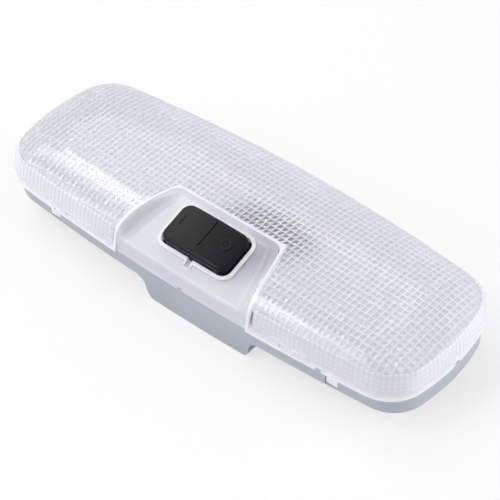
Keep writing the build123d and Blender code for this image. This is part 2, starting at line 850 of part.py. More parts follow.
# Ground strip: right switch pad to the left connector blade
with BuildPart() as ground_strip:
    add(pad(pad_x, pad_drop, ground_leg_y))
    ground_top = pad_height(pad_drop, ground_leg_y)
    add(
        leg_with_bar(
            pad_x, ground_top, ground_bar_drop, blade_x[0], blade_low, ground_leg_y, blade_width
        )
    )
    add(blade(blade_x[0], ground_leg_y))

ground_strip.part.label = "ground_strip"

# Common strip: round-nosed tongue that carries the see-saw blade, floor run and left bulb leaf
with BuildPart() as common_strip:
    add(pad(0, tongue_drop, common_leg_y))
    add(rocking_tongue())
    common_top = pad_height(tongue_drop, common_leg_y)
    add(
        leg_with_bar(
            0, common_top, common_bar_drop, -blade_x[2], tray_floor, common_leg_y, strip_width
        )
    )
    add(floor_run(-1, common_leg_y - strip_wall))
    add(bulb_leaf(-1))

common_strip.part.label = "common_strip"

bulb_axis = Axis((0, bulb_y, bulb_z), (1, 0, 0))
bulb_plane = Plane(origin=(0, bulb_y, bulb_z), x_dir=(1, 0, 0), z_dir=(0, -1, 0))
neck_radius = cap_radius - cap_wall - slot_clearance
cap_mouth_x = bulb_length / 2 - cap_length
barrel_x = cap_mouth_x - bulb_shoulder


def bulb_profile(inset):
    """Half section of the glass barrel between its two necks, drawn inside the glass by inset."""
    end = bulb_glass_length / 2 - inset
    with BuildSketch(bulb_plane) as half_section:
        with BuildLine():
            Polyline((-end, 0), (-end, neck_radius - inset), (-cap_mouth_x, neck_radius - inset))
            Spline(
                (-cap_mouth_x, neck_radius - inset),
                (-barrel_x, bulb_radius - inset),
                tangents=((1, 0), (1, 0)),
            )
            Line((-barrel_x, bulb_radius - inset), (barrel_x, bulb_radius - inset))
            Spline(
                (barrel_x, bulb_radius - inset),
                (cap_mouth_x, neck_radius - inset),
                tangents=((1, 0), (1, 0)),
            )
            Polyline((cap_mouth_x, neck_radius - inset), (end, neck_radius - inset), (end, 0))
            Line((end, 0), (-end, 0))
        make_face()
    return half_section.sketch


# Glass barrel of the festoon bulb
with BuildPart() as bulb_envelope:
    revolve(bulb_profile(0), axis=bulb_axis)
    revolve(bulb_profile(bulb_glass_wall), axis=bulb_axis, mode=Mode.SUBTRACT)

bulb_envelope.part.label = "bulb_envelope"


def bulb_cap(side):
    """Plated cap with a pointed end, soldered solid behind the glass neck."""
    glass_end = bulb_glass_length / 2 + slot_clearance
    shoulder = bulb_length / 2 - cap_point_length
    with BuildPart() as cap:
        with BuildSketch(bulb_plane):
            with BuildLine():
                Polyline(
                    (side * cap_mouth_x, cap_radius - cap_wall),
                    (side * cap_mouth_x, cap_radius),
                    (side * shoulder, cap_radius),
                    (side * bulb_length / 2, cap_tip_radius),
                    (side * bulb_length / 2, 0),
                    (side * glass_end, 0),
                    (side * glass_end, cap_radius - cap_wall),
                    close=True,
                )
            make_face()
        revolve(axis=bulb_axis)
    return cap


bulb_cap_left = bulb_cap(-1)
bulb_cap_left.part.label = "bulb_cap_left"
bulb_cap_right = bulb_cap(1)
bulb_cap_right.part.label = "bulb_cap_right"

# Filament with its two lead wires, between the ends of the glass
with BuildPart() as bulb_filament:
    lead_length = bulb_glass_length - 2 * bulb_glass_wall - slot_clearance
    with BuildSketch(Plane.YZ):
        with Locations((bulb_y, bulb_z)):
            Circle(filament_radius)
    extrude(amount=filament_length / 2, both=True)
    with BuildSketch(Plane.YZ):
        with Locations((bulb_y, bulb_z)):
            Circle(lead_radius)
    extrude(amount=lead_length / 2, both=True)

bulb_filament.part.label = "bulb_filament"

# Aluminium heat shield: a shallow trough resting on the tray floor
with BuildPart() as reflector:
    with BuildSketch(Plane.YZ.offset(-shield_length / 2)):
        with BuildLine():
            centre = (bulb_y, tray_floor + running_clearance + shield_radius)
            start_angle = 270 - shield_angle
            under = CenterArc(centre, shield_radius, start_angle, 2 * shield_angle)
            upper = CenterArc(centre, shield_radius - shield_wall, start_angle, 2 * shield_angle)
            Line(under @ 0, upper @ 0)
            Line(under @ 1, upper @ 1)
        make_face()
    extrude(amount=shield_length)

reflector.part.label = "reflector"


def roof_clip(side):
    """Bent spring strip: hooked through the rear wall, down its face and back up in a V."""
    seat = clip_seat + clip_wall / 2
    inside = -tray_wall - seat
    with BuildPart() as clip:
        with BuildSketch(clip_section(side)):
            with BuildLine():
                FilletPolyline(
                    (inside, clip_top - clip_hook),
                    (inside, clip_top),
                    (seat, clip_top),
                    (seat, clip_bottom),
                    (seat + clip_bulge, (clip_bottom + clip_top) / 2),
                    (seat + clip_bulge / 2, clip_top),
                    radius=clip_bend_radius,
                )
            trace(line_width=clip_wall)
        extrude(amount=clip_width / 2, both=True)
    return clip


roof_clip_left = roof_clip(-1)
roof_clip_left.part.label = "roof_clip_left"
roof_clip_right = roof_clip(1)
roof_clip_right.part.label = "roof_clip_right"

pieces = (
    lens,
    switch_panel,
    housing,
    rocker,
    detent_plunger,
    detent_spring,
    switch_body,
    rocker_contact,
    feed_strip,
    courtesy_strip,
    ground_strip,
    common_strip,
    bulb_envelope,
    bulb_cap_left,
    bulb_cap_right,
    bulb_filament,
    reflector,
    roof_clip_left,
    roof_clip_right,
)
os.makedirs("parts", exist_ok=True)
for piece in pieces:
    export_step(piece.part, f"parts/{piece.part.label}.step")
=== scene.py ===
import math

import bpy
import numpy as np
from mathutils import Matrix


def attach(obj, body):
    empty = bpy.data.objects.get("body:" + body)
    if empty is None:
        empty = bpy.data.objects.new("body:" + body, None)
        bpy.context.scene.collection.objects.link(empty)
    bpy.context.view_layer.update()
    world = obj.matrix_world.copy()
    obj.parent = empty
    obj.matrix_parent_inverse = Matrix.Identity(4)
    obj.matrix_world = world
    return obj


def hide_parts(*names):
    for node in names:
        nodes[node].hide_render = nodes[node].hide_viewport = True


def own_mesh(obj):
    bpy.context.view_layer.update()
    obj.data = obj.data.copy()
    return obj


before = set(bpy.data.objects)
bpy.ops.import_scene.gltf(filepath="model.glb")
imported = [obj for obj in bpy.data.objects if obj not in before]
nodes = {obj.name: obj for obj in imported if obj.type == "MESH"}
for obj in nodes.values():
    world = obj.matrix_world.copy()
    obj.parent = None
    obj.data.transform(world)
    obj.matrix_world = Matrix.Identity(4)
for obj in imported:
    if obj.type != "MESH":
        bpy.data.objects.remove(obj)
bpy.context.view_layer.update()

# Housing
# The shallow tray that is held in the roof, with the deeper connector box below its middle. It is
# moulded in one shot from light cool grey ABS, and keeps the fine even grain of its steel mould.
MM = 0.001  # sizes are written in millimetres
housing_tones = ("#A9AEB9", "#B3B8C2")
tone_span = (0.3, 0.7)


def linear(hex_colour):
    """sRGB hex to linear colour: a channel c is c / 12.92 up to 0.04045, and above that it is
    ((c + 0.055) / 1.055) ^ 2.4."""
    share = np.array([int(hex_colour[i : i + 2], 16) for i in (1, 3, 5)]) / 255
    light = np.where(share <= 0.04045, share / 12.92, ((share + 0.055) / 1.055) ** 2.4)
    return (*light.tolist(), 1.0)


def add_node(tree, kind, inputs=(), **settings):
    """Adds one shader node. Settings are its own properties, and each input is a value or the socket
    that feeds it."""
    made = tree.nodes.new(kind)
    for name, value in settings.items():
        setattr(made, name, value)
    for name, value in dict(inputs).items():
        if isinstance(value, bpy.types.NodeSocket):
            tree.links.new(value, made.inputs[name])
        else:
            made.inputs[name].default_value = value
    return made


def new_finish(name, sockets):
    """Starts a material. What is the same all over it is set on its shader's own sockets."""
    material = bpy.data.materials.new(name)
    material.use_nodes = True
    tree = material.node_tree
    shader = tree.nodes["Principled BSDF"]
    for socket, value in sockets.items():
        shader.inputs[socket].default_value = value
    return material, tree, shader


def moulded_plastic(name, tones, roughness, grain_mm, grain_depth_mm, drift_mm, sockets):
    """Moulded plastic: its colour drifts between two close tones over drift_mm, and the mould's grain,
    grain_mm across and grain_depth_mm deep, breaks up its gloss. A noise's scale is one over its size.
    Real grain is about 0.1 mm across, too fine to show, so it is drawn several times coarser."""
    material, tree, shader = new_finish(name, sockets)
    place = add_node(tree, "ShaderNodeTexCoord").outputs["Object"]
    drift, grain = (
        add_node(
            tree,
            "ShaderNodeTexNoise",
            {"Vector": place, "Scale": 1 / (size_mm * MM), "Detail": detail},
        ).outputs["Fac"]
        for size_mm, detail in ((drift_mm, 3.0), (grain_mm, 2.0))
    )
    colour = add_node(tree, "ShaderNodeValToRGB", {"Fac": drift})
    for stop, at, tone in zip(colour.color_ramp.elements, tone_span, tones):
        stop.position, stop.color = at, linear(tone)
    gloss = add_node(
        tree,
        "ShaderNodeMapRange",
        {"Value": grain, "To Min": roughness[0], "To Max": roughness[1]},
    )
    dents = add_node(
        tree,
        "ShaderNodeBump",
        {"Height": grain, "Strength": 1.0, "Distance": grain_depth_mm * MM},
    )
    tree.links.new(colour.outputs["Color"], shader.inputs["Base Color"])
    tree.links.new(gloss.outputs["Result"], shader.inputs["Roughness"])
    tree.links.new(dents.outputs["Normal"], shader.inputs["Normal"])
    return material


def dress(material, *names):
    """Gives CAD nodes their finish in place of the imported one."""
    for name in names:
        nodes[name].data.materials.clear()
        nodes[name].data.materials.append(material)


# Grained ABS: a soft sheen with no sharp reflection
grained_grey_abs = moulded_plastic(
    "grained_grey_abs",
    housing_tones,
    roughness=(0.42, 0.55),
    grain_mm=0.7,
    grain_depth_mm=0.012,
    drift_mm=30.0,
    sockets={"IOR": 1.54},
)
dress(grained_grey_abs, "housing")

# Switch body, with the rocker's bearings, the contact well and the hood over the terminals
# Moulded in black glass-filled nylon, so it is matt and slightly mottled. It stands on ribs of the housing.
nylon_tones = ("#121215", "#1D1D21")
filled_black_nylon = moulded_plastic(
    "filled_black_nylon",
    nylon_tones,
    roughness=(0.5, 0.68),
    grain_mm=0.6,
    grain_depth_mm=0.02,
    drift_mm=6.0,
    sockets={"IOR": 1.53},
)
dress(filled_black_nylon, "switch_body")

# Rocker, with a crowned top, a centre rib and raised on and off marks
# Black ABS from an etched mould: fine grain and a satin sheen that lifts the black towards grey. It turns
# on two trunnions in the bearings of the switch body.
rocker_tones, rocker_sheen = ("#0F0E11", "#161519"), 0.13
etched_black_abs = moulded_plastic(
    "etched_black_abs",
    rocker_tones,
    roughness=(0.26, 0.34),
    grain_mm=0.5,
    grain_depth_mm=0.014,
    drift_mm=9.0,
    sockets={"IOR": 1.54, "Specular IOR Level": rocker_sheen},
)
dress(etched_black_abs, "rocker")

# Metal inside: brass strips, plated bulb caps, aluminium heat shield and spring steel
# The strips are stamped from rolled brass, and two of them hold the bulb. The shield is aluminium, and
# rests on the tray's floor. Plunger, spring and the clips hooked in the rear wall are plated spring steel.
brass_tones, plate_tones = ("#B08D4A", "#D2B36C"), ("#B9B4AA", "#D8D4CB")
aluminium_tones, steel_tones = ("#C3C6CA", "#DEE0E3"), ("#4C4E55", "#7B7D84")
tungsten_tones = ("#5B5B5E", "#86868A")


def rolled_metal(name, tones, roughness, line_mm, stretch):
    """Rolled metal sheet: streaks line_mm wide and stretch times as long along X vary tone and gloss. Real
    rolling lines are under 0.1 mm wide, too fine to show, so they are drawn several times coarser."""
    material, tree, shader = new_finish(name, {"Metallic": 1.0})
    place = add_node(tree, "ShaderNodeTexCoord").outputs["Object"]
    along = add_node(tree, "ShaderNodeMapping", {"Vector": place, "Scale": (1 / stretch, 1.0, 1.0)})
    streaks = add_node(
        tree,
        "ShaderNodeTexNoise",
        {"Vector": along.outputs["Vector"], "Scale": 1 / (line_mm * MM), "Detail": 4.0},
    ).outputs["Fac"]
    colour = add_node(tree, "ShaderNodeValToRGB", {"Fac": streaks})
    for stop, tone in zip(colour.color_ramp.elements, tones):
        stop.color = linear(tone)
    gloss = add_node(
        tree,
        "ShaderNodeMapRange",
        {"Value": streaks, "To Min": roughness[0], "To Max": roughness[1]},
    )
    tree.links.new(colour.outputs["Color"], shader.inputs["Base Color"])
    tree.links.new(gloss.outputs["Result"], shader.inputs["Roughness"])
    return material


# Brass: warm, with streaks that break up its gloss
rolled_brass = rolled_metal("rolled_brass", brass_tones, roughness=(0.25, 0.45), line_mm=0.5, stretch=12.0)
dress(rolled_brass, "feed_strip", "courtesy_strip", "ground_strip", "common_strip", "rocker_contact")

# Nickel plate: smoother and paler, with clearer reflections
nickel_plate = rolled_metal("nickel_plate", plate_tones, roughness=(0.18, 0.32), line_mm=0.8, stretch=3.0)
dress(nickel_plate, "bulb_cap_left", "bulb_cap_right")

# Aluminium: bright, with long lines that draw its reflections out sideways
rolled_aluminium = rolled_metal(
    "rolled_aluminium", aluminium_tones, roughness=(0.22, 0.4), line_mm=0.6, stretch=20.0
)
dress(rolled_aluminium, "reflector")

# Plated spring steel: a darker, bluish grey
spring_steel = rolled_metal("spring_steel", steel_tones, roughness=(0.28, 0.45), line_mm=0.5, stretch=10.0)
dress(spring_steel, "detent_plunger", "detent_spring", "roof_clip_left", "roof_clip_right")

# Tungsten: a dull grey wire
coiled_tungsten = rolled_metal(
    "coiled_tungsten", tungsten_tones, roughness=(0.4, 0.6), line_mm=0.3, stretch=1.0
)
dress(coiled_tungsten, "bulb_filament")

# Detent spring in the bore of the rocker's stem
# Wound from spring steel wire. It presses the plunger down on the contact, and rests against the end of
# the bore.
lip_y, lip_z = -19.7, 29.7
facet_tilt = math.radians(16.7)
bore_top, plunger_top = 2.6, 8.2
spring_radius, spring_wire, spring_turns, spring_gap = 1.1, 0.2, 6, 0.05
coil_steps, wire_sides = 24, 10


def spring_coil():
    """Helix about the stem's axis: the wire's middle climbs evenly as it turns, and a circle of the wire's
    radius, spread outwards and along the axis, is carried along it. A fan of triangles closes each end."""
    rings = coil_steps * spring_turns
    climb = np.linspace(0, 1, rings + 1)[:, None]
    turn = 2 * np.pi * spring_turns * climb
    around = np.linspace(0, 2 * np.pi, wire_sides, endpoint=False)
    end = spring_wire + spring_gap
    out = spring_radius + spring_wire * np.cos(around)
    up = end - plunger_top + climb * (plunger_top - bore_top - 2 * end) + spring_wire * np.sin(around)
    side, rear = out * np.cos(turn), out * np.sin(turn)
    points = np.stack(
        [
            side,
            lip_y + rear * math.cos(facet_tilt) - up * math.sin(facet_tilt),
            lip_z + rear * math.sin(facet_tilt) + up * math.cos(facet_tilt),
        ],
        2,
    ).reshape(-1, 3)
    here = np.arange(rings)[:, None] * wire_sides + np.arange(wire_sides)
    beside = np.arange(rings)[:, None] * wire_sides + (np.arange(wire_sides) + 1) % wire_sides
    last = rings * wire_sides
    fan = np.arange(1, wire_sides - 1)
    faces = [
        np.stack([here, here + wire_sides, beside + wire_sides], 2).reshape(-1, 3),
        np.stack([here, beside + wire_sides, beside], 2).reshape(-1, 3),
        np.stack([0 * fan, fan, fan + 1], 1),
        np.stack([last + 0 * fan, last + fan + 1, last + fan], 1),
    ]
    return points, np.concatenate(faces)


def new_piece(name, points_mm, faces, finishes, body):
    """Puts points in millimetres and their faces into a mesh at the origin, with its body. Each finish is a
    material and the number of faces that take it, in their order."""
    mesh = bpy.data.meshes.new(name)
    mesh.from_pydata((points_mm * MM).tolist(), [], faces.tolist())
    for material, _ in finishes:
        mesh.materials.append(material)
    counts = [count for _, count in finishes]
    mesh.polygons.foreach_set("material_index", np.repeat(np.arange(len(finishes)), counts))
    piece = bpy.data.objects.new(name, mesh)
    bpy.context.scene.collection.objects.link(piece)
    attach(piece, body)
    return piece


coil_points, coil_faces = spring_coil()
coil_finishes = ((spring_steel, len(coil_faces)),)
coil = new_piece("spring_coil", coil_points, coil_faces, coil_finishes, "rocker")
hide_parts("detent_spring")
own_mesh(coil)

# Glass barrel of the festoon bulb
# Blown soda glass, clear and thin, sealed into its two plated caps. What it mirrors is a little wavy.
glass_tones = ("#F4F6F6", "#FBFCFC")


def pass_shadow_rays(tree, tint):
    """Lets shadow rays pass straight through a material, tinted, so that light reaches what it covers."""
    through = add_node(tree, "ShaderNodeBsdfTransparent", {"Color": linear(tint)})
    path = add_node(tree, "ShaderNodeLightPath")
    mixed = add_node(
        tree,
        "ShaderNodeMixShader",
        {
            "Fac": path.outputs["Is Shadow Ray"],
            1: tree.nodes["Principled BSDF"].outputs["BSDF"],
            2: through.outputs["BSDF"],
        },
    )
    tree.links.new(mixed.outputs["Shader"], tree.nodes["Material Output"].inputs["Surface"])


def clear_shell(name, tones, roughness, wave_mm, wave_depth_mm, sockets, tint=None):
    """Clear material with a slow waviness, wave_mm across and wave_depth_mm deep, which keeps its
    reflections from looking drawn with a ruler. Tone and gloss drift with the waves. Shadow rays take the
    tint, or the second tone where none is given."""
    material, tree, shader = new_finish(name, sockets)
    place = add_node(tree, "ShaderNodeTexCoord").outputs["Object"]
    wave = add_node(
        tree,
        "ShaderNodeTexNoise",
        {"Vector": place, "Scale": 1 / (wave_mm * MM), "Detail": 2.0},
    ).outputs["Fac"]
    bend = add_node(
        tree,
        "ShaderNodeBump",
        {"Height": wave, "Strength": 1.0, "Distance": wave_depth_mm * MM},
    )
    colour = add_node(tree, "ShaderNodeValToRGB", {"Fac": wave})
    for stop, tone in zip(colour.color_ramp.elements, tones):
        stop.color = linear(tone)
    gloss = add_node(
        tree,
        "ShaderNodeMapRange",
        {"Value": wave, "To Min": roughness[0], "To Max": roughness[1]},
    )
    tree.links.new(colour.outputs["Color"], shader.inputs["Base Color"])
    tree.links.new(gloss.outputs["Result"], shader.inputs["Roughness"])
    tree.links.new(bend.outputs["Normal"], shader.inputs["Normal"])
    pass_shadow_rays(tree, tint or tones[1])
    return material


blown_glass = clear_shell(
    "blown_glass",
    glass_tones,
    roughness=(0.0, 0.02),
    wave_mm=6.0,
    wave_depth_mm=0.01,
    sockets={"IOR": 1.52, "Transmission Weight": 1.0},
)
dress(blown_glass, "bulb_envelope")

# Switch panel, the milky facet that carries the rocker's lip, set in the cut-out of the lens
# Moulded in opal polycarbonate: light sinks in and spreads. Over the dark switch below, a soft shade is
# painted into its colour. The face is smooth with a mild gloss.
lip_stand, lip_half, lip_rear_y = 1.25, 20.0, -9.2
# the top of the lip gets a painted highlight: its colour is mixed towards a whiter tone
lip_highlight_from, lip_highlight_full = 0.8, 0.3
# painted shade: a darker tone mixed into the panel's colour over the black hood
shade_centre, shade_reach = (20.0, -13.0), (12.0, 16.0)
shade_edge, shade_core = 1.0, 0.1
panel_tones, painted_shade_tone, lip_highlight_tone = ("#E2E2E8", "#EAEAEF"), "#BCBBC5", "#F8F8FB"
panel_clear, lip_clear = 0.4, 0.1
opal_polycarbonate = clear_shell(
    "opal_polycarbonate",
    panel_tones,
    roughness=(0.3, 0.38),
    wave_mm=14.0,
    wave_depth_mm=0.02,
    sockets={"IOR": 1.58},
)


def plan_reach(tree, centre, reach):
    """Distance in plan from a centre, as a share of two reaches along X and Y: 0 at the centre and 1 on
    the ellipse that they span."""
    place = add_node(tree, "ShaderNodeTexCoord").outputs["Object"]
    scaled = add_node(
        tree,
        "ShaderNodeMapping",
        {
            "Vector": place,
            "Scale": (1 / (reach[0] * MM), 1 / (reach[1] * MM), 0.0),
            "Location": (-centre[0] / reach[0], -centre[1] / reach[1], 0.0),
        },
    )
    away = add_node(tree, "ShaderNodeVectorMath", {0: scaled.outputs["Vector"]}, operation="LENGTH")
    return away.outputs["Value"]


def shade_panel():
    """Paints a soft shade into the panel's colour over the black hood, and a highlight on the lip: the
    lip's colour is painted whiter, and it is made less clear. The lip is told by its height above the
    facet, as a share of its stand below the top, and by its ends and rear in plan."""
    tree = opal_polycarbonate.node_tree
    shader = tree.nodes["Principled BSDF"]
    place = add_node(tree, "ShaderNodeTexCoord").outputs["Object"]
    # painted shade: the colour darkens towards the middle of the hood's plan
    shade = add_node(
        tree,
        "ShaderNodeMapRange",
        {
            "Value": plan_reach(tree, shade_centre, shade_reach),
            "From Min": shade_edge,
            "From Max": shade_core,
        },
    )
    shaded = add_node(
        tree,
        "ShaderNodeMixRGB",
        {
            "Fac": shade.outputs["Result"],
            "Color1": shader.inputs["Base Color"].links[0].from_socket,
            "Color2": linear(painted_shade_tone),
        },
    )
    above = add_node(
        tree,
        "ShaderNodeVectorMath",
        {0: place, 1: (0.0, -math.sin(facet_tilt), math.cos(facet_tilt))},
        operation="DOT_PRODUCT",
    )
    lip_level = lip_z * math.cos(facet_tilt) - lip_y * math.sin(facet_tilt)
    risen = add_node(
        tree,
        "ShaderNodeMapRange",
        {
            "Value": above.outputs["Value"],
            "From Min": (lip_level - lip_highlight_from * lip_stand) * MM,
            "From Max": (lip_level - lip_highlight_full * lip_stand) * MM,
        },
    )
    axes = add_node(tree, "ShaderNodeSeparateXYZ", {"Vector": place})
    found = {"risen": risen.outputs["Result"], "X": axes.outputs["X"], "Y": axes.outputs["Y"]}
    for name, operation, *values in (
        ("sideways", "ABSOLUTE", "X"),
        ("between ends", "LESS_THAN", "sideways", lip_half * MM),
        ("before rear", "LESS_THAN", "Y", lip_rear_y * MM),
        ("lip", "MULTIPLY", "risen", "between ends"),
        ("lip", "MULTIPLY", "lip", "before rear"),
    ):
        inputs = {i: found.get(value, value) for i, value in enumerate(values)}
        found[name] = add_node(tree, "ShaderNodeMath", inputs, operation=operation).outputs["Value"]
    # painted highlight: the lip's colour is whitened
    white = add_node(
        tree,
        "ShaderNodeMixRGB",
        {"Fac": found["lip"], "Color1": shaded.outputs["Color"], "Color2": linear(lip_highlight_tone)},
    )
    clear = add_node(
        tree,
        "ShaderNodeMapRange",
        {"Value": found["lip"], "To Min": panel_clear, "To Max": lip_clear},
    )
    tree.links.new(white.outputs["Color"], shader.inputs["Base Color"])
    tree.links.new(clear.outputs["Result"], shader.inputs["Transmission Weight"])


shade_panel()
dress(opal_polycarbonate, "switch_panel")

# Lens, the long clear dome that snaps over bulb and reflector
# Injection-moulded polycarbonate with a satin outer face. The foot of the skirt is frosted inside, so it
# looks milky, and the cut edges at the rim and round the switch panel gather light and glow.
lens_width = 72.0
panel_rear_y, panel_rear_half, panel_front_half, panel_side_bow = -7.0, 24.0, 30.5, 0.9
panel_gap, edge_wall, edge_blur, edge_clear = 0.3, 1.4, 0.3, 0.08
rim_z, frost_high = 16.5, 29.5
frost_stops = ((17.2, 0.04), (17.8, 0.42), (20.0, 0.7), (28.5, 0.97))  # height and clearness
frosted_to = 19.6
lens_tones, lens_ior = ("#EEEEF1", "#F2F2F5"), 1.58

clear_polycarbonate = clear_shell(
    "clear_polycarbonate",
    lens_tones,
    roughness=(0.2, 0.25),
    wave_mm=18.0,
    wave_depth_mm=0.02,
    sockets={},
)


def panel_distance(tree):
    """Height, and distance in plan from the panel's outline, positive outside it. The half width grows from
    rear to front by the share of the depth gone forward, plus a parabola for the bowed sides."""
    place = add_node(tree, "ShaderNodeTexCoord").outputs["Object"]
    axes = add_node(tree, "ShaderNodeSeparateXYZ", {"Vector": place})
    depth = panel_rear_y + lens_width / 2
    found = {axis: axes.outputs[axis] for axis in "XYZ"}
    for name, operation, *values in (
        ("forward", "MULTIPLY_ADD", "Y", -1 / (depth * MM), panel_rear_y / depth),
        ("left over", "SUBTRACT", 1.0, "forward"),
        ("parabola", "MULTIPLY", "forward", "left over"),
        ("bowed half", "MULTIPLY_ADD", "parabola", 4 * panel_side_bow * MM, panel_rear_half * MM),
        ("half", "MULTIPLY_ADD", "forward", (panel_front_half - panel_rear_half) * MM, "bowed half"),
        ("sideways", "ABSOLUTE", "X"),
        ("beside", "SUBTRACT", "sideways", "half"),
        ("behind", "SUBTRACT", "Y", panel_rear_y * MM),
        ("distance", "MAXIMUM", "beside", "behind"),
    ):
        inputs = {i: found.get(value, value) for i, value in enumerate(values)}
        found[name] = add_node(tree, "ShaderNodeMath", inputs, operation=operation).outputs["Value"]
    return found["Z"], found["distance"]


def frost_lens():
    """Makes the clear plastic milky by height, and white along the edge that faces the panel. Faces that
    look inwards, above the frost, are taken out of the light's way, as prisms and ribs grow from them
    without a surface between. They are told by a negative product of normal and place, and a ray from
    behind sees normals reversed."""
    tree = clear_polycarbonate.node_tree
    shader = tree.nodes["Principled BSDF"]
    height, distance = panel_distance(tree)
    risen = add_node(
        tree,
        "ShaderNodeMapRange",
        {"Value": height, "From Min": rim_z * MM, "From Max": frost_high * MM},
    )
    by_height = add_node(tree, "ShaderNodeValToRGB", {"Fac": risen.outputs["Result"]})
    stops = by_height.color_ramp.elements
    while len(stops) < len(frost_stops):
        stops.new(0.5)
    for stop, (z, clear) in zip(stops, frost_stops):
        stop.position = (z - rim_z) / (frost_high - rim_z)
        stop.color = (clear, clear, clear, 1.0)
    white_to = panel_gap + edge_wall
    from_edge = add_node(
        tree,
        "ShaderNodeMapRange",
        {
            "Value": distance,
            "From Min": (white_to - edge_blur) * MM,
            "From Max": (white_to + edge_blur) * MM,
            "To Min": edge_clear,
            "To Max": 1.0,
        },
    )
    coordinates = add_node(tree, "ShaderNodeTexCoord")
    from_rim = add_node(
        tree,
        "ShaderNodeVectorMath",
        {0: coordinates.outputs["Object"], 1: (0.0, 0.0, rim_z * MM)},
        operation="SUBTRACT",
    )
    facing = add_node(
        tree,
        "ShaderNodeVectorMath",
        {0: coordinates.outputs["Normal"], 1: from_rim.outputs["Vector"]},
        operation="DOT_PRODUCT",
    )
    found = {
        "by height": by_height.outputs["Color"],
        "from edge": from_edge.outputs["Result"],
        "distance": distance,
        "height": height,
        "facing": facing.outputs["Value"],
        "behind": add_node(tree, "ShaderNodeNewGeometry").outputs["Backfacing"],
        "gloss": shader.inputs["Roughness"].links[0].from_socket,
    }
    for name, operation, *values in (
        ("frost", "MINIMUM", "by height", "from edge"),
        ("side", "MULTIPLY_ADD", "behind", -2.0, 1.0),
        ("outward", "MULTIPLY", "facing", "side"),
        ("outer", "GREATER_THAN", "outward", 0.0),
        ("low", "LESS_THAN", "height", frosted_to * MM),
        ("edge", "LESS_THAN", "distance", white_to * MM),
        ("met", "MAXIMUM", "outer", "low"),
        ("met", "MAXIMUM", "met", "edge"),
        ("open", "SUBTRACT", 1.0, "met"),
        ("ior", "MULTIPLY_ADD", "met", lens_ior - 1, 1.0),
        ("gloss", "MULTIPLY", "gloss", "met"),
        ("clear", "MAXIMUM", "frost", "open"),
    ):
        inputs = {i: found.get(value, value) for i, value in enumerate(values)}
        found[name] = add_node(tree, "ShaderNodeMath", inputs, operation=operation).outputs["Value"]
    tree.links.new(found["ior"], shader.inputs["IOR"])
    tree.links.new(found["gloss"], shader.inputs["Roughness"])
    tree.links.new(found["clear"], shader.inputs["Transmission Weight"])


frost_lens()
dress(clear_polycarbonate, "lens")

# Prisms inside the lens
# A field of four-sided pyramids, moulded with the lens, points down at the bulb and spreads its light.
# Their rows run along X and Y, and stop at the foot of the dome and a little short of the switch panel.
lens_length, lens_wall = 194.0, 1.8
front_bow, rear_bow, end_bow, corner_radius = 5.0, 7.0, 5.0, 16.0
skirt_draft, skirt_top = 0.6, 24.0
crown_rise, crown_lead, shoulder_width = 8.4, 9.0, 28.0
prism_pitch_x, prism_pitch_y, prism_depth = 2.28, 2.56, 0.85
prism_foot, prism_sink, panel_margin = 0.25, 0.03, 1.7
inset_least, inset_most, inset_halvings = -8.0, 34.0, 36
slope_probe, least_slope, least_cell = 0.05, 0.2, 0.15
line_tone, facet_tone, prism_tint = "#DBDBDE", "#DDDDE0", "#FAFAFD"
prism_line, facet_clear = (0.06, 0.3), (0.36, 0.8)
foot_fade, foot_clear = 4.0, 0.35
hood_centre, hood_reach, hood_core = (15.0, -3.0), (24.0, 14.0), 0.5
soft_from_y, soft_full_y = 5.0, -16.0
line_roughness, facet_roughness, line_clear = (0.4, 0.3), (0.12, 0.22), (0.12, 0.85)  # rear and front
rows_seen_from, rows_lost_from = -15.0, -60.0
wave_period = math.pi / 10
triangle_wave = {"wave_type": "BANDS", "wave_profile": "TRI"}


def outline_room(x, y, inset):
    """Room between a plan point and the rim's outline drawn inside itself by inset, positive inside. Each
    bowed side is the circle through its three points, and its room is radius less distance to the centre.
    A corner's arc is centred on its core, where a long side and an end both leave the corner's radius of
    room. From the core outwards, between the normals of the two, the room is that radius less distance to
    the core."""
    half_length = lens_length / 2 - inset
    half_width = lens_width / 2 - inset
    share = half_width / (lens_width / 2)
    corner = corner_radius * share
    corner_x = half_length - end_bow * share
    front, rear = front_bow * share - half_width, half_width - rear_bow * share
    middle = (front + rear) / 2
    squares = half_length**2 - corner_x**2 + middle**2 - (rear - middle) ** 2
    centre = squares / (2 * end_bow * share)
    end_radius = np.hypot(half_length - centre, middle)
    sideways = np.abs(x)
    room = end_radius - np.hypot(sideways - centre, y - middle)
    for side, bow in ((-1, front_bow * share), (1, rear_bow * share)):
        radius = (corner_x**2 + bow**2) / (2 * bow)
        hub = side * (half_width - radius)
        room = np.minimum(room, radius - np.hypot(x, y - hub))
        apart = np.hypot(centre, middle - hub)
        unit_x, unit_y = centre / apart, (middle - hub) / apart
        along = ((radius - corner) ** 2 - (end_radius - corner) ** 2 + apart**2) / (2 * apart)
        off = side * np.sqrt((radius - corner) ** 2 - along**2)
        core_x, core_y = along * unit_x + off * unit_y, hub + along * unit_y - off * unit_x
        lead_x, lead_y = sideways - core_x, y - core_y
        long_x, long_y = core_x / (radius - corner), (core_y - hub) / (radius - corner)
        end_x, end_y = (core_x - centre) / (end_radius - corner), (core_y - middle) / (end_radius - corner)
        to_long, to_end = lead_x * long_x + lead_y * long_y, lead_x * end_x + lead_y * end_y
        shared = long_x * end_x + long_y * end_y
        past = (to_long > shared * to_end) & (to_end > shared * to_long)
        room = np.where(past, corner - np.hypot(lead_x, lead_y), room)
    return room


def crown_run(inset):
    """Share of the shoulder that lies behind at an inset, level past its top."""
    return np.clip((inset - skirt_draft - lens_wall) / (shoulder_width - lens_wall), 0, 1)


